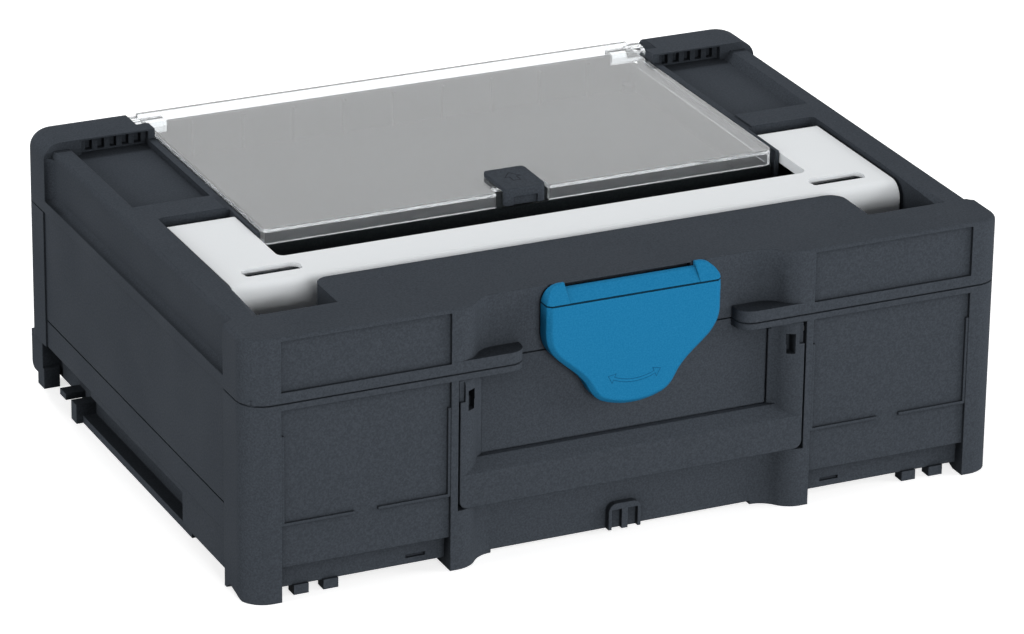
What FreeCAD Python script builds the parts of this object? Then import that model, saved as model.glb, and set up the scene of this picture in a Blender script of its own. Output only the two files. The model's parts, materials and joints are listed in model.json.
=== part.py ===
import FreeCAD, Part
import math
import os

from FreeCAD import Vector

# A stackable tool case with a clear compartment in its lid, in millimetres.
# X runs across the front, -Y is the front, +Z is up, and the origin is the centre of the base.

# Overall form
CASE_WIDTH = 396.0
CASE_DEPTH = 296.0
BOX_HEIGHT = 100.0
LID_HEIGHT = 37.0
CORNER_RADIUS = 13.0
WALL = 3.0
SEAM_GAP = 0.4            # open line between the box rim and the lid rim
MOVE_GAP = 0.4            # room between pieces that move past each other
PIN_PLAY = 0.05           # radial room of a pin in the piece that turns on it
PIN_SEAT = 0.02           # radial room of a pin in the piece that holds it

# Front of box and lid: a recess with S-curved posts, and a label panel on each side
RECESS_DEPTH = 11.0
RECESS_HALF = 69.0
RECESS_WALL = 4.0
OGEE_WIDTH = 22.0
POST_WIDTH = 4.0
CORNER_POST = 17.5
PANEL_DEPTH = 1.7
PANEL_RIM = 3.0
WING_REACH = 13.0         # how far the seam lip runs in past the posts
WING_ROUND = 8.0
WING_THICK = 6.6
LABEL_LEDGE_Z = 40.0
LABEL_LEDGE = 1.4
LABEL_GAP = 12.0
LABEL_RAIL_HEIGHT = 44.0

# Box base
FLOOR_THICK = 3.0
WALL_FOOT = 17.0
PLINTH_INSET = 7.0
PLINTH_FOOT = 4.5
PANEL_FOOT = 1.8
SIDE_WALL = 4.5
REAR_WALL = 6.5
CAVITY_ROUND = 8.0
SIDE_POST = 28.0
SIDE_PANEL_DEPTH = 1.0
SIDE_UNDERCUT = 27.0
BAND_HEIGHT = 14.0
BAND_GROOVE = 0.8
RAIL_INSET = 5.0
RAIL_THICK = 4.0
GROOVE_INSET = 12.0       # side wall behind the runner groove
RAIL_START = 85.0         # from the front face to the rail's stop plate
RAIL_REAR = 59.0          # from the rail's end to the rear face
RAIL_BLOCK = 7.5
LIP_DROP = 3.5            # lip under the side band, above the rail
LIP_REAR = 88.0
HEEL_RISE = 3.5
SKIRT_FOOT = 7.0
SKIRT_INSET = 1.5
FOOT_LENGTH = 15.5
FOOT_WIDTH = 16.0
FOOT_INSET = 1.8
FOOT_RISE = 6.0
FOOT_ROUND = 4.0
PAD_LENGTH = 9.0          # block under the rear foot that stands on the floor
PAD_WIDTH = 8.5
PAD_HEIGHT = 11.0
PAD_FROM_REAR = 10.0
LEDGE_LENGTH = 8.5
LEDGE_GAP = 7.5
LEDGE_THICK = 3.3
COUPLER_WIDTH = 7.6
COUPLER_PITCH = 15.0
COUPLER_HEIGHT = 5.0
COUPLER_DEPTH = 5.0
COUPLER_FROM_POST = 8.0
SLOT_WIDTH = 10.0
SLOT_HEIGHT = 1.8
SLOT_FROM_POST = 10.0
CATCH_HALF = 8.5
CATCH_HEIGHT = 13.5
CATCH_DEPTH = 3.5
CATCH_SLOT = 3.2
TONGUE = 1.5
TONGUE_HEIGHT = 2.5

# Lid
LID_SKIRT = 7.0
DECK_DROP = 4.0
DECK_DEPTH = 61.5         # from the front face
DECK_EDGE = 2.5
RIM_DROP = 1.2
RIM_WIDTH = 19.7
RIM_SLOPE = 4.8           # fall of the rim towards the front ends of the handle well
RIM_ROUND = 6.5
BLOCK_ROUND = 9.0
LID_SIDE_RECESS = 4.5
LID_FRONT_POST = 28.0
LID_REAR_POST = 31.0
LABEL_TOP_RIM = 5.5
LABEL_FOOT_RIM = 6.0
WELL_DEPTH = 23.0
WELL_FRONT = 30.5         # from the front face
HUMP_ROUND = 8.0
HUMP_SIDE = 1.4
PARTITION = 2.0
PARTITION_DROP = 5.0
RIB_WIDTH = 18.1
POCKET_DROP = 8.2
POCKET_SLOPE = 6.6
VENT_COUNT = 5
VENT_PITCH = 6.5
VENT_WIDTH = 3.6
VENT_DEPTH = 4.0
HINGE_ROOM = 22.0
HINGE_ROOM_DROP = 20.0

# Rear hinge of the lid
HINGE_INSET = 3.0
HINGE_RADIUS = 3.0
HINGE_PIN_RADIUS = 1.5
HINGE_START = 60.0
KNUCKLE = 15.0
LID_KNUCKLE = 30.0
LID_SWING = 95.0

# White top handle
HANDLE_DROP = 6.0
HANDLE_THICK = 5.5
HANDLE_SIDE_GAP = 2.0
HANDLE_FRONT_GAP = 3.9
HANDLE_REAR_GAP = 2.7
ARM_WIDTH = 35.0
BAR_WIDTH = 32.1
HANDLE_BEND = 8.5
HANDLE_LIP = 14.5
HANDLE_AXIS = 151.5       # from the front face
HANDLE_BOSS = 6.5
HANDLE_PIN_RADIUS = 2.5
HANDLE_PIN_SEAT = 6.0
HANDLE_CORNER = 4.0
HANDLE_SLOT_LENGTH = 29.0
HANDLE_SLOT_WIDTH = 3.4
HANDLE_SLOT_DEPTH = 3.6
HANDLE_SLOT_IN = 11.3

# Clear cover, its tray and its slide latch
COVER_DROP = 4.0
COVER_THICK = 2.5
COVER_SKIRT = 5.5
COVER_FRONT = 127.0       # from the front face
COVER_SIDE_GAP = 1.4
COVER_REAR_GAP = 0.5
COVER_CORNER = 4.0
COVER_BEAD = 1.6
COVER_LUG = 4.5
COVER_LUG_LENGTH = 20.0
COVER_AXIS_IN = 7.0
COVER_AXIS_DROP = 9.0
COVER_PIN_RADIUS = 1.5
COVER_PIN_SEAT = 6.0
COVER_NOTCH_HALF = 14.5
COVER_NOTCH = 7.0
TRAY_WALL = 2.0
TRAY_SEAT = 8.0           # tray floor above the seam
TRAY_LEDGE = 9.0
TRAY_LEDGE_THICK = 2.5
TRAY_REAR = 9.0
TRAY_RIM_GAP = 0.6
TRAY_RIB_COUNT = 9
TRAY_RIB_DEPTH = 3.0
TRAY_RIB = 1.5
TRAY_BOSS = 3.6
SCREW_RADIUS = 1.4
SCREW_HEAD = 2.6
SCREW_HEAD_HEIGHT = 1.8
SLIDE_HALF = 11.0
SLIDE_LENGTH = 27.0
SLIDE_HEIGHT = 2.2
SLIDE_LIP = 2.8
SLIDE_LIP_DROP = 6.5
SLIDE_NOSE_HALF = 9.0
SLIDE_GRIP_HALF = 6.5
SLIDE_CORNER = 2.5
SLIDE_TRAVEL = 4.5
STEM_HALF = 2.6
STEM_LENGTH = 6.0
STEM_FROM_FRONT = 12.0
FOOT_PLATE_HALF = 4.6
SPRING_LENGTH = 11.0
SPRING_WIDTH = 2.8
SPRING_STRIP = 2.4        # measured along X
SPRING_FOLDS = 6
SPRING_HALF = 2.6
SPRING_STOP = 2.0

# Blue rotary latch on the lid
LATCH_RISE = 8.0          # pivot above the seam
LATCH_HALF = 45.5
LATCH_THICK = 8.7
LATCH_FRONT_GAP = 0.4
LATCH_EAR_TOP = 26.0      # above the pivot
LATCH_BAND_FOOT = 17.7
LATCH_BAND_TOP = 23.5
LATCH_EAR_HALF = 34.0
LATCH_LOBE = 38.5         # below the pivot
LATCH_EAR_ROUND = 9.0
LATCH_EDGE = 2.2
HOOK_PLATE = 1.2
HOOK_RADIUS = 33.0
HOOK_HALF = 30.0
PIVOT_RADIUS = 5.0
PIVOT_HEAD = 8.0
PIVOT_HEAD_THICK = 2.0
WASHER_RADIUS = 8.0
WASHER_THICK = 0.8
CLIP_RADIUS = 7.5
CLIP_THICK = 1.2
CLIP_GROOVE = 0.8
PIVOT_TIP = 1.5
LATCH_SCREW_X = 16.0
LATCH_SCREW_DROP = 6.0
LATCH_SCREW_LENGTH = 7.0

# Bail handle on the box front
BAIL_FOOT = 31.0
BAIL_SIDE_GAP = 0.6
BAIL_GRIP_FACE = 17.0
BAIL_GRIP_TOP = 22.5
BAIL_GRIP_SLOPE = 6.4
BAIL_BACK_GAP = 1.6
BAIL_CORNER = 4.0
BAIL_ROUND = 4.4          # arm tops are rounded about their pins
BAIL_PIN_RADIUS = 1.8
BAIL_PIN_LENGTH = 6.0
BAIL_PIN_SEAT = 4.5
BAIL_NOTCH_WIDTH = 2.6
BAIL_NOTCH_HEIGHT = 11.0
BAIL_NOTCH_DEPTH = 1.6
BAIL_HOLE_WIDTH = 2.4
BAIL_HOLE_HEIGHT = 5.5
BAIL_HOLE_IN = 6.2
BAIL_HOLE_DROP = 6.0

# Planes that several pieces share
HALF_WIDTH = CASE_WIDTH / 2
FRONT = -CASE_DEPTH / 2
REAR = CASE_DEPTH / 2
SEAM = BOX_HEIGHT
TOP = BOX_HEIGHT + LID_HEIGHT
LID_FOOT = SEAM + SEAM_GAP
PAST = 1.0                # how far a cutter runs past the face it opens

RECESS_Y = FRONT + RECESS_DEPTH
POST_INNER = RECESS_HALF + OGEE_WIDTH
PANEL_INNER = POST_INNER + POST_WIDTH
PANEL_OUTER = HALF_WIDTH - CORNER_POST
PANEL_Y = FRONT + PANEL_DEPTH
WING_END = RECESS_HALF - WING_REACH
PLINTH_Y = FRONT + PLINTH_INSET
FLOOR_TOP = WALL_FOOT + FLOOR_THICK
RAIL_X = HALF_WIDTH - RAIL_INSET
GROOVE_X = HALF_WIDTH - GROOVE_INSET
RAIL_Y = FRONT + RAIL_START

DECK_Z = TOP - DECK_DROP
RIM_Z = TOP - RIM_DROP
WELL_Z = TOP - WELL_DEPTH
LID_HOLLOW_Z = SEAM + LID_SKIRT
DECK_Y = FRONT + DECK_DEPTH
WELL_FRONT_Y = FRONT + WELL_FRONT
BLOCK_Y = REAR - LID_REAR_POST
LID_SIDE_X = HALF_WIDTH - LID_SIDE_RECESS
RIM_X = LID_SIDE_X - RIM_ROUND
WELL_OUTER = HALF_WIDTH - RIM_WIDTH
ARM_OUTER = WELL_OUTER - HANDLE_SIDE_GAP
ARM_INNER = ARM_OUTER - ARM_WIDTH
WELL_INNER = ARM_INNER - MOVE_GAP
OPENING_HALF = WELL_INNER - PARTITION
HANDLE_Y = FRONT + HANDLE_AXIS
HANDLE_TOP = TOP - HANDLE_DROP
HANDLE_Z = HANDLE_TOP - HANDLE_BOSS
WELL_REAR_Y = HANDLE_Y + HANDLE_BOSS + HANDLE_REAR_GAP
RIB_END_Y = WELL_REAR_Y + RIB_WIDTH
BAR_FRONT_Y = DECK_Y + HANDLE_FRONT_GAP
BAR_REAR_Y = BAR_FRONT_Y + BAR_WIDTH
HUMP_HALF = WELL_INNER - HUMP_SIDE

COVER_TOP = TOP - COVER_DROP
COVER_Y = FRONT + COVER_FRONT
COVER_HALF = OPENING_HALF - COVER_SIDE_GAP
COVER_UNDER = COVER_TOP - COVER_THICK
COVER_SKIRT_Z = COVER_UNDER - COVER_SKIRT
COVER_REAR = REAR - COVER_REAR_GAP
COVER_AXIS_Y = REAR - COVER_AXIS_IN
COVER_AXIS_Z = TOP - COVER_AXIS_DROP
HINGE_ROOM_Y = REAR - HINGE_ROOM
HINGE_ROOM_HALF = OPENING_HALF + COVER_PIN_SEAT + MOVE_GAP
LUG_END = HINGE_ROOM_HALF - MOVE_GAP
TRAY_Z = SEAM + TRAY_SEAT
TRAY_TOP = COVER_SKIRT_Z - TRAY_RIM_GAP
TRAY_HALF = OPENING_HALF - MOVE_GAP
TRAY_END = REAR - TRAY_REAR
OPENING_FRONT = COVER_Y - MOVE_GAP
OPENING_REAR = TRAY_END + MOVE_GAP

LATCH_Z = SEAM + LATCH_RISE
HOOK_BACK = RECESS_Y - LATCH_FRONT_GAP
LATCH_BACK = HOOK_BACK - HOOK_PLATE
LATCH_FACE = LATCH_BACK - LATCH_THICK
LID_WALL_BACK = RECESS_Y + RECESS_WALL

HINGE_Y = REAR - HINGE_INSET
HINGE_Z = SEAM + SEAM_GAP / 2
KNUCKLE_A = HINGE_START + KNUCKLE
KNUCKLE_B = KNUCKLE_A + LID_KNUCKLE
HINGE_END = KNUCKLE_B + KNUCKLE

BAIL_HALF = POST_INNER - BAIL_SIDE_GAP / 2
BAIL_ROOM = POST_INNER + BAIL_SIDE_GAP / 2
BAIL_ROOM_FOOT = BAIL_FOOT - BAIL_SIDE_GAP
BAIL_ROOM_TOP = BOX_HEIGHT - PANEL_RIM
BAIL_TOP = BAIL_ROOM_TOP - MOVE_GAP
BAIL_BACK = RECESS_Y - BAIL_BACK_GAP
BAIL_AXIS_Y = FRONT + BAIL_ROUND
BAIL_AXIS_Z = BAIL_TOP - BAIL_ROUND


def box(x0, x1, y0, y1, z0, z1):
    """Block between two corners."""
    return Part.makeBox(x1 - x0, y1 - y0, z1 - z0, Vector(x0, y0, z0))


def round_uprights(solid, radius, places=None):
    """Round the upright edges of a solid, all of them or those at the given (x, y) places."""
    edges = []
    for edge in solid.Edges:
        ends = [vertex.Point for vertex in edge.Vertexes]
        if len(ends) != 2 or abs(ends[0].z - ends[1].z) < PIN_SEAT:
            continue
        if places is None or any(math.dist(ends[0][:2], place) < PIN_SEAT for place in places):
            edges.append(edge)
    return solid.makeFillet(radius, edges)


def rounded_box(x0, x1, y0, y1, z0, z1, radius):
    """Block with rounded upright edges."""
    return round_uprights(box(x0, x1, y0, y1, z0, z1), radius)


def rod_x(radius, x0, x1, y, z):
    """Round rod along X."""
    return Part.makeCylinder(radius, x1 - x0, Vector(x0, y, z), Vector(1, 0, 0))


def rod_y(radius, y0, y1, x, z):
    """Round rod along Y."""
    return Part.makeCylinder(radius, y1 - y0, Vector(x, y0, z), Vector(0, 1, 0))


def rod_z(radius, z0, z1, x, y):
    """Round rod along Z."""
    return Part.makeCylinder(radius, z1 - z0, Vector(x, y, z0))


def mirrored(shape):
    """The same shape on the other side of the case."""
    return shape.mirror(Vector(0, 0, 0), Vector(1, 0, 0))


def both(shape):
    """A shape and its mirror image."""
    return [shape, mirrored(shape)]


def lines(points):
    """Straight edges through a list of points."""
    return [Part.makeLine(a, b) for a, b in zip(points, points[1:])]


def solid_of(edges, along):
    """Solid swept from a closed outline by a straight move."""
    return Part.Face(Part.Wire(Part.__sortEdges__(edges))).extrude(along)


def outline_x(points, x0, x1):
    """Solid of a (y, z) outline between two x planes."""
    corners = [Vector(x0, y, z) for y, z in points]
    return solid_of(lines(corners + corners[:1]), Vector(x1 - x0, 0, 0))


def outline_y(points, y0, y1):
    """Solid of an (x, z) outline between two y planes."""
    corners = [Vector(x, y0, z) for x, z in points]
    return solid_of(lines(corners + corners[:1]), Vector(0, y1 - y0, 0))


def ease_top(solid, radius):
    """Round the edges of a solid's top face."""
    top = solid.BoundBox.ZMax - PIN_SEAT
    return solid.makeFillet(radius, [edge for edge in solid.Edges if edge.BoundBox.ZMin > top])


def ogee(x0, y0, x1, y1, z):
    """S curve of two equal arcs that leaves and arrives along X."""
    dx = x1 - x0
    dy = y1 - y0
    radius = (dx * dx + dy * dy) / (4 * abs(dy))
    slant = math.atan2(abs(dy), abs(dx))
    step_x = math.copysign(radius * math.sin(slant), dx)
    step_y = math.copysign(radius * (1 - math.cos(slant)), dy)
    start = Vector(x0, y0, z)
    middle = Vector((x0 + x1) / 2, (y0 + y1) / 2, z)
    end = Vector(x1, y1, z)
    first = Part.Arc(start, start + Vector(step_x, step_y, 0), middle)
    second = Part.Arc(middle, end - Vector(step_x, step_y, 0), end)
    return [first.toShape(), second.toShape()]


def recess_cutter(z0, z1):
    """The front recess: flat back wall between two S-curved flanks, open to the front."""
    mouth = FRONT - PAST
    edges = ogee(-POST_INNER, FRONT, -RECESS_HALF, RECESS_Y, z0)
    edges += lines([Vector(-RECESS_HALF, RECESS_Y, z0), Vector(RECESS_HALF, RECESS_Y, z0)])
    edges += ogee(RECESS_HALF, RECESS_Y, POST_INNER, FRONT, z0)
    edges += lines([Vector(POST_INNER, FRONT, z0), Vector(POST_INNER, mouth, z0),
                    Vector(-POST_INNER, mouth, z0), Vector(-POST_INNER, FRONT, z0)])
    return solid_of(edges, Vector(0, 0, z1 - z0))


def wing_cutter(z0, z1):
    """The recess between the two seam lips, whose ends are rounded back to the wall."""
    middle = rounded_box(-WING_END, WING_END, FRONT - WING_ROUND, RECESS_Y, z0, z1, PIN_PLAY)
    flare = box(WING_END - PIN_PLAY, WING_END + WING_ROUND, FRONT - PAST, FRONT + WING_ROUND, z0, z1)
    flare = flare.cut(rod_z(WING_ROUND, z0 - PAST, z1 + PAST, WING_END + WING_ROUND, FRONT + WING_ROUND))
    return middle.multiFuse(both(flare))


def cavity(half, grow, z0, z1):
    """Inside of the box in plan, grown by a margin: one wide room and two front corner rooms."""
    side = half + grow
    room_front = RECESS_Y + RECESS_WALL - grow
    room_rear = REAR - REAR_WALL + grow
    corner_front = PANEL_Y + WALL - grow
    corner_inner = PANEL_INNER + WALL - grow
    room = rounded_box(-side, side, room_front, room_rear, z0, z1, CAVITY_ROUND)
    corner = rounded_box(corner_inner, side, corner_front, room_front + 4 * CAVITY_ROUND, z0, z1,
                         CAVITY_ROUND / 2)
    return room.multiFuse(both(corner))


def case_block(z0, z1):
    """The case's outer form in plan, between two heights."""
    return rounded_box(-HALF_WIDTH, HALF_WIDTH, FRONT, REAR, z0, z1, CORNER_RADIUS)


def hinge_bevel(up):
    """Wedge along the rear seam that lets the lid swing past the box, below or above the axis."""
    reach = HINGE_INSET + PAST
    drop = reach * math.tan(math.radians(LID_SWING / 2 + 2))
    points = [(HINGE_Y, HINGE_Z), (HINGE_Y + reach, HINGE_Z + up * drop),
              (HINGE_Y + reach, HINGE_Z - up * drop), (HINGE_Y, HINGE_Z - up * drop)]
    return outline_x(points, -CASE_WIDTH, CASE_WIDTH)


def knuckles(spans, radius):
    """Hinge barrels on both sides for a list of x spans."""
    shapes = []
    for x0, x1 in spans:
        shapes += both(rod_x(radius, x0, x1, HINGE_Y, HINGE_Z))
    return shapes


def box_shell():
    """Walls and floor of the box above its base, with front, side and rear panels."""
    shell = case_block(WALL_FOOT, BOX_HEIGHT)
    side_y0 = FRONT + SIDE_POST
    side_y1 = REAR - SIDE_POST
    panel_x = HALF_WIDTH - SIDE_PANEL_DEPTH
    skirt_x = HALF_WIDTH - SKIRT_INSET
    far = HALF_WIDTH + PAST
    groove_z = SIDE_UNDERCUT + BAND_HEIGHT
    low = WALL_FOOT - PAST
    cutters = both(box(panel_x, far, side_y0, side_y1, SIDE_UNDERCUT, BOX_HEIGHT + PAST))
    cutters += both(box(panel_x - BAND_GROOVE, far, side_y0, side_y1, groove_z, groove_z + BAND_GROOVE))
    cutters += both(box(skirt_x, far, side_y0, RAIL_Y, low, SIDE_UNDERCUT))
    cutters += both(box(GROOVE_X, far, RAIL_Y, REAR + PAST, low, SIDE_UNDERCUT))
    cutters += both(box(PANEL_INNER, PANEL_OUTER, FRONT - PAST, PANEL_Y, low, BAIL_ROOM_TOP))
    cutters.append(box(-PANEL_OUTER, PANEL_OUTER, REAR - SIDE_PANEL_DEPTH, REAR + PAST, low, BAIL_ROOM_TOP))
    cutters.append(recess_cutter(low, BAIL_ROOM_FOOT))
    cutters.append(box(-BAIL_ROOM, BAIL_ROOM, FRONT - PAST, RECESS_Y, BAIL_ROOM_FOOT, BAIL_ROOM_TOP))
    cutters.append(wing_cutter(BAIL_ROOM_TOP, BOX_HEIGHT + PAST))
    low_half = GROOVE_X - WALL
    cutters.append(cavity(low_half, 0, FLOOR_TOP, SIDE_UNDERCUT + WALL))
    cutters.append(cavity(HALF_WIDTH - SIDE_WALL, 0, SIDE_UNDERCUT + WALL, BOX_HEIGHT + PAST))
    return shell.cut(cutters)


def box_base():
    """What stands below the floor: plinth, columns, skirts, runner rails, feet and couplings."""
    plinth = box(-GROOVE_X, GROOVE_X, PLINTH_Y, REAR - PLINTH_INSET, PLINTH_FOOT, WALL_FOOT)
    inner = box(-GROOVE_X + WALL, GROOVE_X - WALL, PLINTH_Y + WALL, REAR - PLINTH_INSET - WALL,
                PLINTH_FOOT - PAST, WALL_FOOT + PAST)
    slot_x = PANEL_INNER + SLOT_FROM_POST
    slot_z = PLINTH_FOOT + WALL
    slot = box(slot_x, slot_x + SLOT_WIDTH, PLINTH_Y - PAST, PLINTH_Y + WALL / 2,
               slot_z, slot_z + SLOT_HEIGHT)
    mouth = recess_cutter(PLINTH_FOOT - PAST, WALL_FOOT + PAST)
    shapes = [plinth.cut([inner, mouth] + both(slot))]

    column = box(-PANEL_INNER, PANEL_INNER, FRONT, LID_WALL_BACK, 0, WALL_FOOT)
    column = column.cut(recess_cutter(-PAST, WALL_FOOT + PAST))
    column = column.cut(box(-RECESS_HALF, RECESS_HALF, FRONT, REAR, -PAST, PANEL_FOOT))
    shapes.append(column)

    post_end = FRONT + SIDE_POST
    corner = case_block(0, WALL_FOOT).common(box(PANEL_OUTER, HALF_WIDTH, FRONT, post_end, 0, WALL_FOOT))
    heel_line = [(post_end - PAST, -PAST), (post_end - CORNER_RADIUS / 2, HEEL_RISE),
                 (FRONT + CORNER_RADIUS, HEEL_RISE / 2), (FRONT + CORNER_RADIUS / 2, -PAST)]
    heel = outline_x(heel_line, PANEL_OUTER - PAST, HALF_WIDTH + PAST)
    shapes += both(corner.cut(heel))

    skirt_x = HALF_WIDTH - SKIRT_INSET
    shapes += both(box(skirt_x - WALL, skirt_x, post_end, RAIL_Y, SKIRT_FOOT, WALL_FOOT))
    web_x = GROOVE_X - WALL
    shapes += both(box(web_x, skirt_x, RAIL_Y - WALL, RAIL_Y, SKIRT_FOOT, WALL_FOOT))
    rail_end = REAR - RAIL_REAR
    shapes += both(box(web_x, GROOVE_X, RAIL_Y - WALL, rail_end, 0, WALL_FOOT))
    shapes += both(box(web_x, RAIL_X, RAIL_Y - WALL, rail_end, 0, RAIL_THICK))
    shapes += both(box(GROOVE_X - PAST, skirt_x, RAIL_Y - PAST, REAR - LIP_REAR,
                       SIDE_UNDERCUT - LIP_DROP, SIDE_UNDERCUT))
    block_top = SKIRT_FOOT + LEDGE_THICK
    shapes += both(box(web_x, skirt_x, rail_end - RAIL_BLOCK, rail_end, 0, block_top))
    ledge_y = rail_end + LEDGE_GAP
    shapes += both(box(web_x, skirt_x, ledge_y, ledge_y + LEDGE_LENGTH, SKIRT_FOOT, block_top))
    return shapes + both(rear_foot()) + front_couplers()


def rear_foot():
    """Foot under a rear corner: a block with a rounded heel, and a lower pad that stands on the floor."""
    x1 = HALF_WIDTH - FOOT_INSET
    y1 = REAR - FOOT_INSET
    foot = box(x1 - FOOT_WIDTH, x1, y1 - FOOT_LENGTH, y1, FOOT_RISE, WALL_FOOT)
    cheek = box(GROOVE_X - WALL, x1, y1 - FOOT_LENGTH, y1, WALL_FOOT - PAST, SIDE_UNDERCUT)
    foot = foot.fuse(cheek).removeSplitter()
    heel = [edge for edge in foot.Edges
            if edge.BoundBox.ZMax < FOOT_RISE + PIN_SEAT and edge.BoundBox.YMin > y1 - PIN_SEAT]
    foot = foot.makeFillet(FOOT_ROUND, heel)
    pad_y = REAR - PAD_FROM_REAR
    pad = box(x1 - PAD_WIDTH, x1, pad_y - PAD_LENGTH, pad_y, 0, PAD_HEIGHT)
    return foot.fuse(pad)


def front_couplers():
    """Pairs of coupling teeth along the foot of the front panels."""
    shapes = []
    for index in range(2):
        x1 = PANEL_OUTER - COUPLER_FROM_POST - index * COUPLER_PITCH
        shapes += both(box(x1 - COUPLER_WIDTH, x1, PLINTH_Y - COUPLER_DEPTH / 3, PLINTH_Y + COUPLER_DEPTH,
                           0, COUPLER_HEIGHT))
    return shapes


def base_catch():
    """Arched coupling catch in the middle of the front, with two upright slots."""
    y0 = RECESS_Y - CATCH_DEPTH
    top = PANEL_FOOT + CATCH_HEIGHT
    block = box(-CATCH_HALF, CATCH_HALF, y0, RECESS_Y, PANEL_FOOT, top)
    edges = [edge for edge in block.Edges
             if edge.BoundBox.ZMin > top - PIN_SEAT and edge.BoundBox.XLength < PIN_SEAT]
    block = block.makeFillet(CATCH_HALF / 2, edges)
    slot = box(CATCH_SLOT / 2, CATCH_HALF - CATCH_SLOT / 2, y0 - PAST, RECESS_Y - PAST,
               PANEL_FOOT - PAST, top - CATCH_SLOT)
    return block.cut(both(slot))


def label_rails():
    """Ledges and side rails that hold a label card on each front panel."""
    y0 = PANEL_Y - LABEL_LEDGE
    middle = (PANEL_INNER + PANEL_OUTER) / 2
    top = LABEL_LEDGE_Z + LABEL_RAIL_HEIGHT
    shapes = []
    for x0, x1 in ((PANEL_INNER, middle - LABEL_GAP / 2), (middle + LABEL_GAP / 2, PANEL_OUTER)):
        shapes += both(box(x0, x1, y0, PANEL_Y, LABEL_LEDGE_Z - LABEL_LEDGE, LABEL_LEDGE_Z))
    for x0 in (PANEL_INNER, PANEL_OUTER - LABEL_LEDGE):
        shapes += both(box(x0, x0 + LABEL_LEDGE, y0, PANEL_Y, LABEL_LEDGE_Z - LABEL_LEDGE, top))
    return shapes


def box_tub():
    """Lower moulding of the case."""
    tub = box_shell().multiFuse(box_base() + [base_catch()] + label_rails())
    half = HALF_WIDTH - SIDE_WALL
    tongue = cavity(half, TONGUE, SEAM - WALL, SEAM + TONGUE_HEIGHT)
    tongue = tongue.cut([cavity(half, 0, SEAM - 2 * WALL, SEAM + WALL),
                         box(-CASE_WIDTH, CASE_WIDTH, REAR - 2 * REAR_WALL, REAR, 0, TOP)])
    tub = tub.fuse(tongue)
    tub = tub.cut(hinge_bevel(-1))
    lid_span = (KNUCKLE_A - MOVE_GAP, KNUCKLE_B + MOVE_GAP)
    tub = tub.cut(knuckles([lid_span], HINGE_RADIUS + MOVE_GAP))
    tub = tub.multiFuse(knuckles([(HINGE_START, KNUCKLE_A), (KNUCKLE_B, HINGE_END)], HINGE_RADIUS))
    bores = knuckles([(HINGE_START - PAST, HINGE_END + PAST)], HINGE_PIN_RADIUS + PIN_SEAT)
    pin_hole = rod_x(BAIL_PIN_RADIUS + PIN_SEAT, BAIL_ROOM - PAST, BAIL_ROOM + BAIL_PIN_SEAT,
                     BAIL_AXIS_Y, BAIL_AXIS_Z)
    return tub.cut(bores + both(pin_hole)).removeSplitter()


def lid_block():
    """Outer form of the lid: a deck with eased edges, and higher, rounder corners at the rear."""
    deck = ease_top(case_block(LID_FOOT, DECK_Z), DECK_EDGE)
    deck = deck.common(box(-HALF_WIDTH, HALF_WIDTH, FRONT, BLOCK_Y, LID_FOOT, TOP))
    corners = ease_top(case_block(LID_FOOT, TOP), BLOCK_ROUND)
    corners = corners.common(box(-HALF_WIDTH, HALF_WIDTH, BLOCK_Y, REAR, LID_FOOT, TOP))
    return deck.fuse(corners).removeSplitter()


def handle_well():
    """U-shaped well for the handle, round the hump at the rear of the deck."""
    high = TOP + PAST
    ends = box(HUMP_HALF, WELL_OUTER, WELL_FRONT_Y, WELL_REAR_Y, WELL_Z, high)
    ends = ends.cut(box(0, WELL_INNER, OPENING_FRONT, REAR, 0, high))
    ends = round_uprights(ends, HANDLE_CORNER / 2, [(WELL_OUTER, WELL_FRONT_Y), (WELL_OUTER, WELL_REAR_Y)])
    channel = box(-WELL_INNER, WELL_INNER, DECK_Y, OPENING_FRONT, WELL_Z, high)
    nose = box(HUMP_HALF - HUMP_ROUND, HUMP_HALF, DECK_Y - HUMP_ROUND, DECK_Y, WELL_Z, high)
    nose = nose.cut(rod_z(HUMP_ROUND, 0, high, HUMP_HALF - HUMP_ROUND, DECK_Y - HUMP_ROUND))
    return channel.multiFuse(both(ends) + both(nose))


def well_slope():
    """Slope of the rim beside the handle well, wide at the front and running out at the pivot."""
    high = TOP + PAST
    wires = []
    for y, share in ((WELL_FRONT_Y, 1.0), (HANDLE_Y - HANDLE_BOSS, 0.1)):
        reach = share * (RIM_X - WELL_OUTER)
        points = [Vector(WELL_OUTER, y, RIM_Z - share * RIM_SLOPE), Vector(WELL_OUTER + reach, y, RIM_Z),
                  Vector(WELL_OUTER + reach, y, high), Vector(WELL_OUTER - PIN_PLAY, y, high),
                  Vector(WELL_OUTER - PIN_PLAY, y, RIM_Z - share * RIM_SLOPE)]
        wires.append(Part.makePolygon(points + points[:1]))
    return Part.makeLoft(wires, True, True)


def rim_cutters():
    """Rim behind the deck: lower than the deck, sloped to the well and rounded to the side recess."""
    high = TOP + PAST
    far = HALF_WIDTH + PAST
    low = RIM_Z - RIM_ROUND
    cutters = [box(-far, far, DECK_Y, BLOCK_Y, RIM_Z, high)]
    cutters += both(box(HUMP_HALF, far, WELL_FRONT_Y, DECK_Y + PAST, RIM_Z, high))
    shoulder = box(RIM_X, far, WELL_FRONT_Y, BLOCK_Y, low, high)
    shoulder = shoulder.cut(rod_y(RIM_ROUND, WELL_FRONT_Y - PAST, BLOCK_Y + PAST, RIM_X, low))
    cutters += both(shoulder)
    cutters += both(well_slope())
    rib = [(0, DECK_Z), (WELL_OUTER, DECK_Z), (RIM_X, RIM_Z), (RIM_X, high), (0, high)]
    cutters += both(outline_y(rib, WELL_REAR_Y, RIB_END_Y))
    wall_x = WELL_INNER + PARTITION
    cutters.append(box(-wall_x, wall_x, DECK_Y, BLOCK_Y, TOP - PARTITION_DROP, high))
    return cutters


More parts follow.
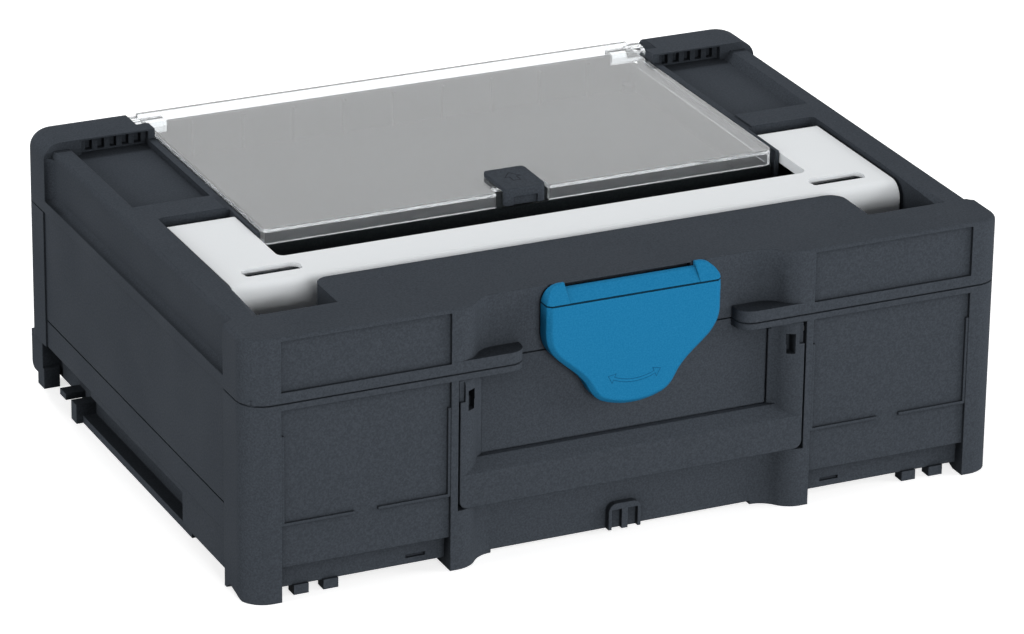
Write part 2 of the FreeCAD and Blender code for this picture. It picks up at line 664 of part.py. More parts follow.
def lid_top_cutters():
    """What is taken from the lid's top: handle well, rear pockets, compartment opening and hinge room."""
    high = TOP + PAST
    cutters = [handle_well()]
    pocket_x0 = WELL_INNER + PARTITION
    pocket_z = TOP - POCKET_DROP
    section = [(pocket_x0, pocket_z), (RIM_X - POCKET_SLOPE, pocket_z), (RIM_X, RIM_Z), (RIM_X, high),
               (pocket_x0, high)]
    cutters += both(outline_y(section, RIB_END_Y, BLOCK_Y))
    vent_middle = (pocket_x0 + RIM_X - POCKET_SLOPE) / 2
    for index in range(VENT_COUNT):
        x0 = vent_middle + (index - VENT_COUNT / 2) * VENT_PITCH
        cutters += both(box(x0, x0 + VENT_WIDTH, BLOCK_Y - PAST, BLOCK_Y + VENT_DEPTH,
                            pocket_z + PAST, TOP - 2 * PAST))

    cutters.append(box(-OPENING_HALF, OPENING_HALF, OPENING_FRONT, OPENING_REAR, TRAY_Z, high))
    inner = OPENING_HALF - TRAY_LEDGE
    cutters.append(box(-inner, inner, OPENING_FRONT + TRAY_LEDGE, OPENING_REAR - TRAY_LEDGE, SEAM, high))
    cutters.append(box(-HINGE_ROOM_HALF, HINGE_ROOM_HALF, HINGE_ROOM_Y, REAR + PAST,
                       TOP - HINGE_ROOM_DROP, high))
    return cutters


def lid_side_cutters():
    """What is taken from the lid's outside: side recesses, label panels and the front recess."""
    high = TOP + PAST
    recess = box(LID_SIDE_X, HALF_WIDTH + 2 * LID_SIDE_RECESS, FRONT + LID_FRONT_POST, BLOCK_Y,
                 LID_HOLLOW_Z, high + LID_SIDE_RECESS)
    edges = [edge for edge in recess.Edges
             if edge.BoundBox.XMax < LID_SIDE_X + PIN_SEAT and edge.BoundBox.ZMin < high]
    cutters = both(recess.makeFillet(LID_SIDE_RECESS * 0.8, edges))
    cutters += both(box(PANEL_INNER, PANEL_OUTER, FRONT - PAST, PANEL_Y,
                        SEAM + LABEL_FOOT_RIM, TOP - LABEL_TOP_RIM))
    cutters.append(recess_cutter(SEAM + WING_THICK, high))
    cutters.append(wing_cutter(SEAM - PAST, SEAM + WING_THICK))
    return cutters


def lid_hollows():
    """Open spaces on the lid's underside."""
    half = HALF_WIDTH - LID_SIDE_RECESS - WALL
    groove_z = SEAM + TONGUE_HEIGHT + 2 * MOVE_GAP
    groove = cavity(HALF_WIDTH - SIDE_WALL, TONGUE + MOVE_GAP, SEAM, groove_z)
    groove = groove.common(box(-CASE_WIDTH, CASE_WIDTH, FRONT, REAR - 2 * REAR_WALL + MOVE_GAP, 0, TOP))
    low = LID_HOLLOW_Z - WALL - PAST
    shapes = [groove, cavity(half, 0, SEAM, TRAY_Z - TRAY_LEDGE_THICK)]
    deck_roof = DECK_Z - WALL
    ends_y = WELL_FRONT_Y - WALL
    shapes.append(box(-half, half, LID_WALL_BACK, ends_y, low, deck_roof))
    shapes += both(box(PANEL_INNER + WALL, half, PANEL_Y + WALL, ends_y, low, deck_roof))
    shapes.append(box(-HUMP_HALF + WALL, HUMP_HALF - WALL, LID_WALL_BACK, DECK_Y - WALL, low, deck_roof))
    pocket_y0 = WELL_REAR_Y + WALL
    shapes += both(box(WELL_INNER + WALL, half, pocket_y0, BLOCK_Y - WALL, low, TOP - POCKET_DROP - WALL))
    shapes += both(box(WELL_OUTER + WALL, half, ends_y, pocket_y0, low, RIM_Z - RIM_SLOPE - WALL / 2))
    shapes += both(box(HINGE_ROOM_HALF + COVER_PIN_SEAT + WALL, half,
                       BLOCK_Y + VENT_DEPTH + WALL, REAR - REAR_WALL,
                       low, TOP - 2 * WALL))
    return shapes


def lid_frame():
    """Upper moulding of the case."""
    lid = lid_block().cut(rim_cutters())
    lid = lid.cut(lid_top_cutters() + lid_side_cutters() + lid_hollows())
    seat_x1 = WELL_OUTER + HANDLE_PIN_SEAT
    boss = rod_x(HANDLE_BOSS, WELL_OUTER, seat_x1 + WALL / 2, HANDLE_Y, HANDLE_Z)
    lid = lid.multiFuse(both(boss))
    lid = lid.cut(hinge_bevel(1))
    box_spans = [(HINGE_START - MOVE_GAP, KNUCKLE_A + MOVE_GAP), (KNUCKLE_B - MOVE_GAP, HINGE_END + MOVE_GAP)]
    lid = lid.cut(knuckles(box_spans, HINGE_RADIUS + MOVE_GAP))
    inner_span = (KNUCKLE_A + MOVE_GAP, KNUCKLE_B - MOVE_GAP)
    lid = lid.multiFuse(knuckles([inner_span], HINGE_RADIUS))
    bores = knuckles([(HINGE_START - PAST, HINGE_END + PAST)], HINGE_PIN_RADIUS + PIN_PLAY)
    bores += both(rod_x(HANDLE_PIN_RADIUS + PIN_SEAT, OPENING_HALF + MOVE_GAP, seat_x1, HANDLE_Y, HANDLE_Z))
    bores += both(rod_x(COVER_PIN_RADIUS + PIN_SEAT, HINGE_ROOM_HALF - PAST, HINGE_ROOM_HALF + COVER_PIN_SEAT,
                        COVER_AXIS_Y, COVER_AXIS_Z))
    bores.append(rod_y(PIVOT_RADIUS + PIN_PLAY, RECESS_Y - PAST, LID_WALL_BACK + PAST, 0, LATCH_Z))
    for x, y in screw_places():
        bores.append(rod_z(SCREW_RADIUS + PIN_SEAT, SEAM, TRAY_Z + PAST, x, y))
    return lid.cut(bores).removeSplitter()


def lid_hinge_pin():
    """Steel pin through the three knuckles of one rear hinge."""
    return rod_x(HINGE_PIN_RADIUS, HINGE_START, HINGE_END, HINGE_Y, HINGE_Z)


def screw_places():
    """Middles of the four tray screws."""
    x = OPENING_HALF - TRAY_LEDGE / 2 - MOVE_GAP
    y0 = OPENING_FRONT + TRAY_LEDGE / 2 + MOVE_GAP
    y1 = OPENING_REAR - TRAY_LEDGE / 2 - MOVE_GAP
    return [(-x, y0), (x, y0), (-x, y1), (x, y1)]


def compartment_tray():
    """Open tray under the clear cover, with ribs on its rear wall and screw bosses."""
    tray = rounded_box(-TRAY_HALF, TRAY_HALF, COVER_Y, TRAY_END, TRAY_Z, TRAY_TOP, COVER_CORNER)
    inside = rounded_box(-TRAY_HALF + TRAY_WALL, TRAY_HALF - TRAY_WALL, COVER_Y + TRAY_WALL,
                         TRAY_END - TRAY_WALL, TRAY_Z + TRAY_WALL, TOP, COVER_CORNER - TRAY_WALL)
    tray = tray.cut(inside)
    wall_top = COVER_UNDER - MOVE_GAP
    wall_half = LUG_END - COVER_LUG_LENGTH - 2 * MOVE_GAP
    rear_wall = box(-wall_half, wall_half, TRAY_END - TRAY_WALL, TRAY_END, TRAY_Z, wall_top)
    rib_top = wall_top - TRAY_WALL
    rib_pitch = 2 * TRAY_HALF / (TRAY_RIB_COUNT + 1)
    ribs = []
    for index in range(TRAY_RIB_COUNT):
        x = -TRAY_HALF + (index + 1) * rib_pitch
        ribs.append(box(x - TRAY_RIB / 2, x + TRAY_RIB / 2, TRAY_END - TRAY_WALL - TRAY_RIB_DEPTH,
                        TRAY_END - TRAY_WALL / 2, TRAY_Z + TRAY_WALL / 2, rib_top))
    boss_top = TRAY_Z + 3 * TRAY_WALL
    bosses = [rod_z(TRAY_BOSS, TRAY_Z, boss_top, x, y) for x, y in screw_places()]
    tray = tray.multiFuse(ribs + bosses + [rear_wall])
    holes = [rod_z(SCREW_RADIUS + PIN_SEAT, TRAY_Z - PAST, boss_top - TRAY_WALL / 2, x, y)
             for x, y in screw_places()]
    lug_room = rod_x(COVER_LUG + MOVE_GAP, wall_half + MOVE_GAP, LUG_END, COVER_AXIS_Y, COVER_AXIS_Z)
    return tray.cut(holes + both(lug_room)).removeSplitter()


def tray_screws():
    """Four pan-head screws that come up through the lid's ledge into the tray."""
    head_z = TRAY_Z - TRAY_LEDGE_THICK
    shank_top = TRAY_Z + 2 * TRAY_WALL
    screws = []
    for x, y in screw_places():
        shank = rod_z(SCREW_RADIUS, head_z - PIN_PLAY, shank_top, x, y)
        head = rod_z(SCREW_HEAD, head_z - SCREW_HEAD_HEIGHT, head_z, x, y)
        screws.append(shank.fuse(head).removeSplitter())
    return Part.makeCompound(screws)


def handle_section(x):
    """Side outline of the top handle: pivot boss, flat plate and a front lip round a bend."""
    under = HANDLE_TOP - HANDLE_THICK
    lip_z = HANDLE_TOP - HANDLE_LIP
    boss_y = HANDLE_Y - math.sqrt(HANDLE_BOSS ** 2 - (HANDLE_Z - under) ** 2)
    diagonal = math.sqrt(0.5)

    def bend(radius, along, up):
        return Vector(x, BAR_FRONT_Y + HANDLE_BEND - radius * along, HANDLE_TOP - HANDLE_BEND + radius * up)

    inner = HANDLE_BEND - HANDLE_THICK
    top_rear = Vector(x, HANDLE_Y, HANDLE_TOP)
    under_rear = Vector(x, boss_y, under)
    back = Vector(x, HANDLE_Y + HANDLE_BOSS, HANDLE_Z)
    edges = lines([top_rear, bend(HANDLE_BEND, 0, 1)])
    edges.append(Part.Arc(bend(HANDLE_BEND, 0, 1), bend(HANDLE_BEND, diagonal, diagonal),
                          bend(HANDLE_BEND, 1, 0)).toShape())
    edges += lines([bend(HANDLE_BEND, 1, 0), Vector(x, BAR_FRONT_Y, lip_z),
                    Vector(x, BAR_FRONT_Y + HANDLE_THICK, lip_z), bend(inner, 1, 0)])
    edges.append(Part.Arc(bend(inner, 1, 0), bend(inner, diagonal, diagonal), bend(inner, 0, 1)).toShape())
    edges += lines([bend(inner, 0, 1), under_rear])
    edges.append(Part.Arc(under_rear, Vector(x, HANDLE_Y, HANDLE_Z - HANDLE_BOSS), back).toShape())
    rise = HANDLE_BOSS * diagonal
    edges.append(Part.Arc(back, Vector(x, HANDLE_Y + rise, HANDLE_Z + rise), top_rear).toShape())
    return edges


def top_handle():
    """White carrying handle that lies flush in the lid."""
    handle = solid_of(handle_section(-ARM_OUTER), Vector(2 * ARM_OUTER, 0, 0))
    handle = handle.cut(rounded_box(-ARM_INNER, ARM_INNER, BAR_REAR_Y, REAR, 0, TOP, HANDLE_CORNER))
    slot_x1 = ARM_OUTER - HANDLE_SLOT_IN
    slot_y = (BAR_FRONT_Y + BAR_REAR_Y) / 2
    half = HANDLE_SLOT_WIDTH / 2
    slot = rounded_box(slot_x1 - HANDLE_SLOT_LENGTH, slot_x1, slot_y - half, slot_y + half,
                       HANDLE_TOP - HANDLE_SLOT_DEPTH, TOP, half - PIN_PLAY)
    bore = rod_x(HANDLE_PIN_RADIUS + PIN_PLAY, ARM_INNER - PAST, ARM_OUTER + PAST, HANDLE_Y, HANDLE_Z)
    return handle.cut(both(slot) + both(bore)).removeSplitter()


def top_handle_pin():
    """Pivot pin of one handle arm, held by the lid on both sides of it."""
    return rod_x(HANDLE_PIN_RADIUS, OPENING_HALF + MOVE_GAP, WELL_OUTER + HANDLE_PIN_SEAT, HANDLE_Y, HANDLE_Z)


def clear_cover():
    """Clear lid of the compartment: a plate with skirts, rear lugs and a slot for its latch."""
    plate = box(-COVER_HALF, COVER_HALF, COVER_Y, COVER_REAR, COVER_UNDER, COVER_TOP)
    skirt_end = HINGE_ROOM_Y
    skirt = box(-COVER_HALF, COVER_HALF, COVER_Y, skirt_end, COVER_SKIRT_Z, COVER_TOP)
    front_places = [(-COVER_HALF, COVER_Y), (COVER_HALF, COVER_Y)]
    plate = round_uprights(plate, COVER_CORNER, front_places)
    skirt = round_uprights(skirt, COVER_CORNER, front_places)
    hollow = box(-COVER_HALF + COVER_THICK, COVER_HALF - COVER_THICK, COVER_Y + COVER_THICK, skirt_end + PAST,
                 COVER_SKIRT_Z - PAST, COVER_UNDER)
    cover = plate.fuse(skirt.cut(hollow))
    bead = box(-COVER_HALF, COVER_HALF, COVER_REAR - COVER_THICK, COVER_REAR,
               COVER_UNDER, COVER_TOP + COVER_BEAD)
    lug = rod_x(COVER_LUG, LUG_END - COVER_LUG_LENGTH, LUG_END, COVER_AXIS_Y, COVER_AXIS_Z)
    arm = box(COVER_HALF - PAST, LUG_END, COVER_AXIS_Y, COVER_REAR, COVER_AXIS_Z, COVER_TOP)
    spring_y = slide_stem_y() + STEM_LENGTH + SPRING_LENGTH
    stop = box(-FOOT_PLATE_HALF, FOOT_PLATE_HALF, spring_y, spring_y + SPRING_STOP,
               COVER_UNDER - MOVE_GAP - SPRING_WIDTH, COVER_UNDER + PIN_PLAY)
    cover = cover.multiFuse(both(lug) + both(arm) + [bead, stop])
    notch = box(-COVER_NOTCH_HALF, COVER_NOTCH_HALF, COVER_Y - PAST, COVER_Y + COVER_NOTCH,
                COVER_SKIRT_Z - PAST, TOP)
    stem_y = slide_stem_y()
    slot_half = STEM_HALF + MOVE_GAP
    slot = box(-slot_half, slot_half, stem_y - MOVE_GAP, stem_y + STEM_LENGTH + SLIDE_TRAVEL + MOVE_GAP,
               COVER_UNDER - PAST, TOP)
    bore = rod_x(COVER_PIN_RADIUS + PIN_PLAY, LUG_END - COVER_LUG_LENGTH / 2, LUG_END + PAST,
                 COVER_AXIS_Y, COVER_AXIS_Z)
    return cover.cut([notch, slot] + both(bore)).removeSplitter()


def cover_hinge_pin():
    """Short hinge pin between a cover lug and the lid's rear block."""
    return rod_x(COVER_PIN_RADIUS, LUG_END - COVER_LUG_LENGTH / 2, HINGE_ROOM_HALF + COVER_PIN_SEAT,
                 COVER_AXIS_Y, COVER_AXIS_Z)


def slide_stem_y():
    """Front face of the slide latch's stem."""
    return COVER_Y + STEM_FROM_FRONT


def cover_latch():
    """Slide latch: a thumb pad on the cover, a front lip, a nose, and a stem with its foot."""
    pad_z = COVER_TOP + MOVE_GAP / 2
    lip_y1 = COVER_Y - MOVE_GAP
    lip_y0 = lip_y1 - SLIDE_LIP
    pad = rounded_box(-SLIDE_HALF, SLIDE_HALF, lip_y0, lip_y0 + SLIDE_LENGTH, pad_z, pad_z + SLIDE_HEIGHT,
                      SLIDE_CORNER)
    lip = box(-SLIDE_HALF, SLIDE_HALF, lip_y0, lip_y1, COVER_TOP - SLIDE_LIP_DROP, pad_z + SLIDE_HEIGHT / 2)
    lip = round_uprights(lip, SLIDE_CORNER, [(-SLIDE_HALF, lip_y0), (SLIDE_HALF, lip_y0)])
    grip = box(-SLIDE_GRIP_HALF, SLIDE_GRIP_HALF, lip_y0 - PAST, lip_y0 + SLIDE_LIP / 3,
               COVER_TOP - SLIDE_LIP_DROP - PAST, COVER_TOP - SLIDE_LIP_DROP / 3)
    nose = box(-SLIDE_NOSE_HALF, SLIDE_NOSE_HALF, lip_y1 - PAST, lip_y1 + COVER_NOTCH - SLIDE_TRAVEL,
               COVER_TOP - SLIDE_LIP_DROP, pad_z + SLIDE_HEIGHT / 2)
    stem_y = slide_stem_y()
    foot_z1 = COVER_UNDER - MOVE_GAP / 2
    foot_z0 = COVER_UNDER - MOVE_GAP - SPRING_WIDTH
    stem = box(-STEM_HALF, STEM_HALF, stem_y, stem_y + STEM_LENGTH, foot_z0, pad_z + SLIDE_HEIGHT / 2)
    foot = box(-FOOT_PLATE_HALF, FOOT_PLATE_HALF, stem_y, stem_y + STEM_LENGTH, foot_z0, foot_z1)
    return pad.multiFuse([lip.cut(grip), nose, stem, foot]).removeSplitter()


def cover_latch_spring():
    """Flat spring from the latch's foot to the stop under the cover: a strip folded to and fro along Y."""
    y0 = slide_stem_y() + STEM_LENGTH + PIN_SEAT
    pitch = (SPRING_LENGTH - 2 * PIN_SEAT) / SPRING_FOLDS
    z = COVER_UNDER - MOVE_GAP - SPRING_WIDTH
    left = -SPRING_STRIP / 2
    folds = [Vector(left + SPRING_HALF * (-1) ** index, y0 + pitch * index, z)
             for index in range(SPRING_FOLDS + 1)]
    far_side = [fold + Vector(SPRING_STRIP, 0, 0) for fold in reversed(folds)]
    return solid_of(lines(folds + far_side + folds[:1]), Vector(0, 0, SPRING_WIDTH))


def latch_outline(y):
    """Front outline of the rotary latch: eared top, straight flanks and a drawn-in lobe."""
    def at(x, rise):
        return Vector(x, y, LATCH_Z + rise)

    ear = LATCH_EAR_TOP
    lobe = LATCH_LOBE
    half = LATCH_HALF
    edges = []
    for side in (1, -1):
        flank = [at(side * half, 4), at(side * half * 0.94, -lobe * 0.16),
                 at(side * half * 0.72, -lobe * 0.42),
                 at(side * half * 0.53, -lobe * 0.66), at(side * half * 0.36, -lobe * 0.91)]
        curve = Part.BSplineCurve()
        curve.interpolate(Points=flank, InitialTangent=Vector(0, 0, -1), FinalTangent=Vector(-side, 0, -0.62))
        edges.append(curve.toShape())
        edges += lines([at(side * half, 4), at(side * half, ear - LATCH_EAR_ROUND)])
        turn = LATCH_EAR_ROUND * (1 - math.sqrt(0.5))
        edges.append(Part.Arc(at(side * half, ear - LATCH_EAR_ROUND), at(side * (half - turn), ear - turn),
                              at(side * (half - LATCH_EAR_ROUND), ear)).toShape())
    tip = Part.Arc(at(half * 0.36, -lobe * 0.91), at(0, -lobe), at(-half * 0.36, -lobe * 0.91))
    edges.append(tip.toShape())
    edges += lines([at(half - LATCH_EAR_ROUND, ear), at(LATCH_EAR_ROUND - half, ear)])
    return edges


def rotary_latch():
    """Blue latch lever, with a sloped band along its top between two ears."""
    lever = solid_of(latch_outline(LATCH_FACE), Vector(0, LATCH_THICK, 0))
    face_edges = [edge for edge in lever.Edges if edge.BoundBox.YMax < LATCH_FACE + PIN_SEAT]
    lever = lever.makeChamfer(LATCH_EDGE, face_edges)
    foot = LATCH_Z + LATCH_BAND_FOOT
    top = LATCH_Z + LATCH_BAND_TOP
    slope = [(LATCH_FACE - PAST, foot - PAST), (LATCH_BACK - LATCH_THICK / 4, top), (LATCH_BACK + PAST, top),
             (LATCH_BACK + PAST, TOP + PAST), (LATCH_FACE - PAST, TOP + PAST)]
    lever = lever.cut(outline_x(slope, -LATCH_EAR_HALF, LATCH_EAR_HALF))
    head_y = LATCH_BACK - LATCH_THICK / 2 - PIVOT_HEAD_THICK
    bore = rod_y(PIVOT_RADIUS + PIN_SEAT, head_y, LATCH_BACK + PAST, 0, LATCH_Z)
    head = rod_y(PIVOT_HEAD + PIN_SEAT, head_y, LATCH_BACK + PAST, 0, LATCH_Z)
    holes = [rod_y(SCREW_RADIUS + PIN_SEAT, LATCH_BACK - LATCH_SCREW_LENGTH, LATCH_BACK + PAST, x, z)
             for x, z in latch_screw_places()]
    return lever.cut([bore, head] + holes).removeSplitter()


def latch_screw_places():
    """Middles of the two screws in the latch's back plate."""
    z = LATCH_Z - LATCH_SCREW_DROP
    return [(-LATCH_SCREW_X, z), (LATCH_SCREW_X, z)]


def latch_hook_plate():
    """Back plate of the latch: a disc with flats, whose lower rim runs past the seam to the box."""
    disc = rod_y(HOOK_RADIUS, LATCH_BACK, HOOK_BACK, 0, LATCH_Z)
    plate = disc.common(box(-HOOK_HALF, HOOK_HALF, FRONT, REAR, SEAM - LATCH_LOBE, LATCH_Z + LATCH_BAND_FOOT))
    holes = [rod_y(PIVOT_RADIUS + PIN_SEAT, LATCH_BACK - PAST, HOOK_BACK + PAST, 0, LATCH_Z)]
    for x, z in latch_screw_places():
        holes.append(rod_y(SCREW_HEAD + PIN_SEAT, LATCH_BACK - PAST, HOOK_BACK + PAST, x, z))
    return plate.cut(holes)


def latch_screws():
    """Two flat-head screws that hold the back plate's rim to the lever."""
    screws = []
    for x, z in latch_screw_places():
        head = rod_y(SCREW_HEAD, LATCH_BACK, HOOK_BACK, x, z)
        shank = rod_y(SCREW_RADIUS, LATCH_BACK - LATCH_SCREW_LENGTH, LATCH_BACK + PIN_PLAY, x, z)
        screws.append(head.fuse(shank).removeSplitter())
    return Part.makeCompound(screws)


def clip_y():
    """Front face of the retaining clip."""
    return LID_WALL_BACK + MOVE_GAP + WASHER_THICK


def latch_pivot():
    """Axle of the rotary latch: a head inside the lever, a shaft through the lid wall, a clip groove."""
    head_y = LATCH_BACK - LATCH_THICK / 2 - PIVOT_HEAD_THICK
    tip = clip_y() + CLIP_THICK + PIVOT_TIP
    head = rod_y(PIVOT_HEAD, head_y, LATCH_BACK, 0, LATCH_Z)
    axle = rod_y(PIVOT_RADIUS, head_y, tip, 0, LATCH_Z).fuse(head)
    groove = rod_y(PIVOT_HEAD, clip_y(), clip_y() + CLIP_THICK, 0, LATCH_Z)
    groove = groove.cut(rod_y(PIVOT_RADIUS - CLIP_GROOVE, clip_y() - PAST, tip, 0, LATCH_Z))
    return axle.cut(groove).removeSplitter()


def latch_wave_washer():
    """Spring washer between the lid's inner wall and the clip."""
    y0 = LID_WALL_BACK + MOVE_GAP
    ring = rod_y(WASHER_RADIUS, y0, y0 + WASHER_THICK, 0, LATCH_Z)
    return ring.cut(rod_y(PIVOT_RADIUS + PIN_PLAY, y0 - PAST, y0 + 2 * PAST, 0, LATCH_Z))


def latch_clip():
    """Open retaining clip in the axle's groove."""
    y0 = clip_y()
    ring = rod_y(CLIP_RADIUS, y0, y0 + CLIP_THICK, 0, LATCH_Z)
    bore = rod_y(PIVOT_RADIUS - CLIP_GROOVE + PIN_SEAT, y0 - PAST, y0 + 2 * PAST, 0, LATCH_Z)
    gap = box(-PIVOT_RADIUS / 2, PIVOT_RADIUS / 2, y0 - PAST, y0 + 2 * PAST,
              LATCH_Z - 2 * CLIP_RADIUS, LATCH_Z)
    return ring.cut([bore, gap])


def front_handle():
    """Bail handle: two S-curved arms and a grip with a sloped top."""
    arms = box(-BAIL_HALF, BAIL_HALF, FRONT, BAIL_BACK, BAIL_FOOT, BAIL_TOP)
    arms = arms.cut(recess_cutter(BAIL_FOOT - PAST, BAIL_TOP + PAST))
    inner = RECESS_HALF + OGEE_WIDTH / 8
    arms = arms.cut(box(-inner, inner, FRONT - PAST, REAR, 0, TOP))
    grip_face = BAIL_FOOT + BAIL_GRIP_FACE
    grip_top = BAIL_FOOT + BAIL_GRIP_TOP
    grip = outline_x([(FRONT, BAIL_FOOT), (FRONT, grip_face), (FRONT + BAIL_GRIP_SLOPE, grip_top),
                      (BAIL_BACK, grip_top), (BAIL_BACK, BAIL_FOOT)], -BAIL_HALF, BAIL_HALF)
    handle = arms.fuse(grip).removeSplitter()
    edges = [edge for edge in handle.Edges
             if edge.BoundBox.ZMax < BAIL_FOOT + PIN_SEAT and edge.BoundBox.XLength < PIN_SEAT]
    handle = handle.makeFillet(BAIL_CORNER, edges)
    crown = box(-HALF_WIDTH, HALF_WIDTH, FRONT - PAST, REAR, BAIL_AXIS_Z, TOP)
    crown = crown.cut(rod_x(BAIL_ROUND, -HALF_WIDTH - PAST, HALF_WIDTH + PAST, BAIL_AXIS_Y, BAIL_AXIS_Z))
    notch = box(BAIL_HALF - BAIL_NOTCH_WIDTH, BAIL_HALF + PAST, FRONT - PAST, FRONT + BAIL_NOTCH_DEPTH,
                BAIL_TOP - BAIL_NOTCH_HEIGHT, BAIL_TOP + PAST)
    hole_x = BAIL_HALF - BAIL_HOLE_IN
    hole_z = BAIL_TOP - BAIL_HOLE_DROP
    hole = box(hole_x - BAIL_HOLE_WIDTH, hole_x, FRONT - PAST, BAIL_BACK + PAST,
               hole_z - BAIL_HOLE_HEIGHT, hole_z)
    bore = rod_x(BAIL_PIN_RADIUS + PIN_PLAY, POST_INNER - BAIL_PIN_LENGTH - PAST, BAIL_HALF + PAST,
                 BAIL_AXIS_Y, BAIL_AXIS_Z)
    return handle.cut([crown] + both(notch) + both(hole) + both(bore)).removeSplitter()


def front_handle_pin():
    """Pivot pin of one bail arm, held in the box's post."""
    return rod_x(BAIL_PIN_RADIUS, POST_INNER - BAIL_PIN_LENGTH, BAIL_ROOM + BAIL_PIN_SEAT,
                 BAIL_AXIS_Y, BAIL_AXIS_Z)


def pieces():
    """Every sub-part under its node name."""
    nodes = {
        "box_tub": box_tub(),
        "lid_frame": lid_frame(),
        "compartment_tray": compartment_tray(),
        "tray_screws": tray_screws(),
        "clear_cover": clear_cover(),
        "cover_latch": cover_latch(),
        "cover_latch_spring": cover_latch_spring(),
        "top_handle": top_handle(),
        "rotary_latch": rotary_latch(),
        "latch_hook_plate": latch_hook_plate(),
        "latch_pivot": latch_pivot(),
        "latch_wave_washer": latch_wave_washer(),
        "latch_clip": latch_clip(),
        "latch_screws": latch_screws(),
        "front_handle": front_handle(),
    }
    for name, pin in (("lid_hinge_pin", lid_hinge_pin()), ("cover_hinge_pin", cover_hinge_pin()),
                      ("top_handle_pin", top_handle_pin()), ("front_handle_pin", front_handle_pin())):
        nodes[name + "_right"] = pin
        nodes[name + "_left"] = mirrored(pin)
    return nodes


os.makedirs("parts", exist_ok=True)
for node, shape in pieces().items():
    print("%-24s %8.0f mm3, %d solid(s), valid %s" % (node, shape.Volume, len(shape.Solids), shape.isValid()))
    shape.exportStep("parts/%s.step" % node)
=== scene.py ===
"""Looks of a low stackable tool case: eased copies of its moulded pieces, plastics, light and camera."""

import json
import math

import bmesh
import bpy
import numpy as np
from mathutils import Matrix, Vector


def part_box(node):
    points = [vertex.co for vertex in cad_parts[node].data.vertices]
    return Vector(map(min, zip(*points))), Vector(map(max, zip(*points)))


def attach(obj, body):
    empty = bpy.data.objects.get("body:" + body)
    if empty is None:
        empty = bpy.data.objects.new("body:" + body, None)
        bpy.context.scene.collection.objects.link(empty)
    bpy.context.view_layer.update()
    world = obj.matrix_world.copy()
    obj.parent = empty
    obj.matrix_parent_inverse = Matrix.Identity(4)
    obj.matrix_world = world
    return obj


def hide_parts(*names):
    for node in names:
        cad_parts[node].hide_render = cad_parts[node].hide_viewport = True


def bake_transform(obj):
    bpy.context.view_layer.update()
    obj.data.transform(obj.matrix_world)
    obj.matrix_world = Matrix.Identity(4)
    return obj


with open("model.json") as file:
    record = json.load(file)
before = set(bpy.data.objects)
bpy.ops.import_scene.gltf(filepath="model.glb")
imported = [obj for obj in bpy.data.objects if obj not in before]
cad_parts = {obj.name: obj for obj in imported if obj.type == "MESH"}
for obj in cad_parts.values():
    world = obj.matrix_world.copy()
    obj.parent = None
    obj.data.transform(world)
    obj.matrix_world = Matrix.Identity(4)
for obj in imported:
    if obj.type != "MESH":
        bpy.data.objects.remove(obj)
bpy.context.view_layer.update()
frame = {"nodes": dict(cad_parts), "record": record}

# Lengths are in millimetres, apart from those whose names end in _M, which are in metres.
MM = 0.001
BODY_OF = {node: body for body, nodes in frame["record"]["behaviour"]["bodies"].items() for node in nodes}

# Plastics: where the grain's specks change colour, how the gloss strays, and how far apart its clouds lie
SPECK_BAND = (0.36, 0.66)
GLOSS_STRAY = (-0.04, 0.05)
CLOUD_PITCH = 38.0
PLASTIC_IOR = 1.5
POLYCARBONATE_IOR = 1.58
# Painted shade, darkening the plastics' colour in creases and hollows by ambient occlusion: the share of open
# view where it is darkest, and its usual reach and share of colour left
OPEN_SHARE = 0.35  # share of open view below which a hollow is as dim as it gets
SHALLOW_PAINTED_SHADE = (5.0, 0.4)

# Meshes: points this close are one, edges sharper than this stay sharp, and outer edges turn at least so far
WELD_M = 2e-6
CUT_M = 1e-7
SHARP_EDGE = math.radians(28.0)
OUTER_EDGE = math.radians(60.0)
FLAT_FACE_WEIGHT = 80
ARC_STEPS = 8

# Latch: its face, the level where its band starts, its axle, the band's plane as a point and the way out, and
# the painted shade line for the groove under the band, as its height, half its width and its colour
LATCH_FACE_Y = -147.3
LATCH_BAND_Z = 125.7
LATCH_AXLE_Z = 108.0
BAND_PLANE = ((0.0, LATCH_FACE_Y, LATCH_BAND_Z), (0.0, -0.743, 0.669))
BAND_GROOVE_SHADE = (LATCH_BAND_Z, 0.4, "#0A2A3C")

# Lid: the level of its lower rim and how far that is lifted, and the vents on its rear blocks
LID_RIM_Z = 100.4
LID_RIM_LIFT = 0.35
LEVEL_TOLERANCE = 0.05
VENT_RECESS_X = 160.25
VENT_RECESS_HALF = 17.75
VENT_X = 160.2
VENT_PITCH = 6.5
VENT_HALF = 1.75

# Carrying handle: the middle of its slots, half their length, and half the room below them
SLOT_X = 150.5
SLOT_HALF = 15.0
SLOT_ROOM_HALF = 18.0

# Bail: its end, how far that is drawn in, and where the holes in its arms start and stop, from that end
BAIL_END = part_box("front_handle")[1][0] / MM
BAIL_DRAWN_IN = 0.4
BAIL_HOLE = (8.6, 4.8)

# Clear cover: outer edges at least this long are eased, by this width
COVER_EDGES = (20.0, 0.4)

# Signs: width and rise of their lines, and a line's section as shares of its half width and of its rise
SIGN_WIDTH = 0.5
TURN_SIGN_RISE = 0.06
SLIDE_SIGN_RISE = 0.05
BEAD = ((1.0, -1.0), (0.6, 0.8), (0.0, 1.0), (-0.6, 0.8), (-1.0, -1.0))
MITRE_LIMIT = 2.5

# Room: the floor's half size, the light that the room gives, and how bright the floor looks by itself
FLOOR_HALF_M = 1.6
ROOM_LIGHT = 0.12
FLOOR_GLOW = 0.7

